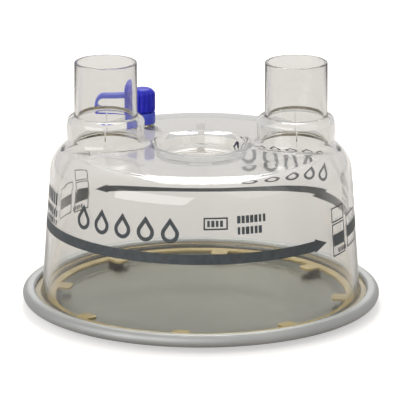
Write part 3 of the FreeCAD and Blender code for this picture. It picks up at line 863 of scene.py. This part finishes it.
def makePrint(s):
    bm = bmesh.new()
    # level line, ending in an arrow head
    line = steppedLine((along(s["lineStart"]), s["lineLevel"]),
                       (along(s["lineEnd"]), s["lineLevel"]))
    inkRibbon(bm, line, s["lineWidth"])
    head = steppedLine((along(s["lineEnd"]) - 0.4, s["lineLevel"]),
                       (along(s["tipEnd"]), s["lineLevel"]), 0.5)
    last = len(head) - 1
    inkRibbon(bm, head, [max(0.12, s["tipWidth"] * (1 - k / last)) for k in range(last + 1)])
    # row of plain water drops
    for k in range(s["dropCount"]):
        inkDrop(bm, along(s["dropStart"] + s["dropPitch"] * k), s["dropLow"] + 0.5,
                s["dropWidth"] - s["dropStroke"], s["dropHeight"] - 1.6, s["dropStroke"])
    for left, right, bottom, head, stroke in fieldFrames:
        inkFrame(bm, along(left), along(right), bottom, head, stroke)
    for left, right, level, height in fieldBands:
        inkBand(bm, along(left), along(right), level, height)
    bothSides = wrapPrint("bothSides", bm, markRows)
    runNodes(bothSides, roundTree, {"Count": 2, "First angle": 0.0,
                                    "Step angle": math.radians(s["backTurn"]), "Material": ink})
    # the small outlined field and its rows are on the front alone
    bm = bmesh.new()
    left, right, bottom, head, stroke = frontFrame
    inkFrame(bm, along(left), along(right), bottom, head, stroke)
    return joinMeshes("wallPrint", [bothSides, wrapPrint("frontOnly", bm, frontRows)])


wallPrint = finishPiece(makePrint(printSizes), ink)
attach(wallPrint, "chamber")
print("print ready")


# floor, light and world

lightSizes = {"floorHalf": 4.0, "floorLevel": -0.0002, "closeBy": 0.001,
              "floorColour": "#dbd7d3", "floorLift": 0.5,
              "worldCamera": 1.0, "worldGlass": 0.66, "worldLevel": 0.5}


# name, azimuth and elevation in degrees, distance and size in metres, power, facing
lamps = [
    ("ceilingPanel", (180, 45.2), 1.128, (0.36, 1.05), 6.4, (0, 0, -1)),
    ("frontLeftSoftbox", (-40, 24), 2.2, (2.4, 1.5), 26.5, None),
    ("frontRightSoftbox", (55, 45), 2.0, (1.4, 1.4), 3.5, None),
]


def makeFloor(s):
    bm = bmesh.new()
    half = s["floorHalf"]
    bm.faces.new([bm.verts.new((x * half, y * half, s["floorLevel"]))
                  for x, y in ((-1, -1), (1, -1), (1, 1), (-1, 1))])
    floor = newThing("paleFloor", meshOf("paleFloor", bm))
    material, tree = newMaterial("palePaperFloor")
    paper = addNode(tree, "ShaderNodeBsdfDiffuse", {"Color": hexColour(s["floorColour"])})
    path = addNode(tree, "ShaderNodeLightPath")
    # the camera sees the paper a little brighter, so that it reads white
    lift = addNode(tree, "ShaderNodeMath", {0: path.outputs["Is Camera Ray"], 1: s["floorLift"]},
                   operation="MULTIPLY")
    glow = addNode(tree, "ShaderNodeEmission", {"Strength": lift.outputs[0]})
    both = addNode(tree, "ShaderNodeAddShader", {0: paper.outputs[0], 1: glow.outputs[0]})
    # clear from below and right under the plate, so that the underside can be looked at
    side = addNode(tree, "ShaderNodeNewGeometry")
    close = addNode(tree, "ShaderNodeMath", {0: path.outputs["Ray Length"], 1: s["closeBy"]},
                    operation="LESS_THAN")
    away = addNode(tree, "ShaderNodeMath", {0: side.outputs["Backfacing"], 1: close.outputs[0]},
                   operation="MAXIMUM")
    through = addNode(tree, "ShaderNodeBsdfTransparent")
    sheet = addNode(tree, "ShaderNodeMixShader", {0: away.outputs[0], 1: both.outputs[0],
                                                  2: through.outputs[0]})
    addNode(tree, "ShaderNodeOutputMaterial", {"Surface": sheet.outputs[0]})
    floor.data.materials.append(material)


def makeWorld(s):
    world = bpy.data.worlds.new("studio")
    bpy.context.scene.world = world
    world.use_nodes = True
    tree = world.node_tree
    tree.nodes.clear()
    path = addNode(tree, "ShaderNodeLightPath")
    glass = addNode(tree, "ShaderNodeMath", {0: path.outputs["Is Transmission Ray"],
                                             1: path.outputs["Is Glossy Ray"]},
                    operation="MAXIMUM")
    level = addNode(tree, "ShaderNodeMix", {0: glass.outputs[0], 2: s["worldLevel"],
                                            3: s["worldGlass"]}, data_type="FLOAT")
    seen = addNode(tree, "ShaderNodeMix", {0: path.outputs["Is Camera Ray"], 2: level.outputs[0],
                                           3: s["worldCamera"]}, data_type="FLOAT")
    sky = addNode(tree, "ShaderNodeBackground", {"Color": hexColour("#ffffff"),
                                                 "Strength": seen.outputs[0]})
    addNode(tree, "ShaderNodeOutputWorld", {"Surface": sky.outputs[0]})


def makeLamp(name, direction, distance, size, power, face):
    data = bpy.data.lights.new(name, "AREA")
    data.shape = "RECTANGLE"
    data.size, data.size_y = size
    data.energy = power
    lamp = newThing(name, data)
    azimuth, elevation = (math.radians(a) for a in direction)
    way = Vector((math.sin(azimuth) * math.cos(elevation),
                  -math.cos(azimuth) * math.cos(elevation), math.sin(elevation)))
    lamp.location = way * distance + Vector((0, 0, 0.05))
    lamp.rotation_mode = "QUATERNION"
    lamp.rotation_quaternion = Vector(face or -way).to_track_quat("-Z", "Y")


makeFloor(lightSizes)
makeWorld(lightSizes)
for lamp in lamps:
    makeLamp(*lamp)
scene = bpy.context.scene
scene.view_settings.view_transform = "Standard"
scene.cycles.max_bounces = 64
scene.cycles.transmission_bounces = 64
scene.cycles.glossy_bounces = 12
scene.cycles.transparent_max_bounces = 32
print("floor, light and world ready")
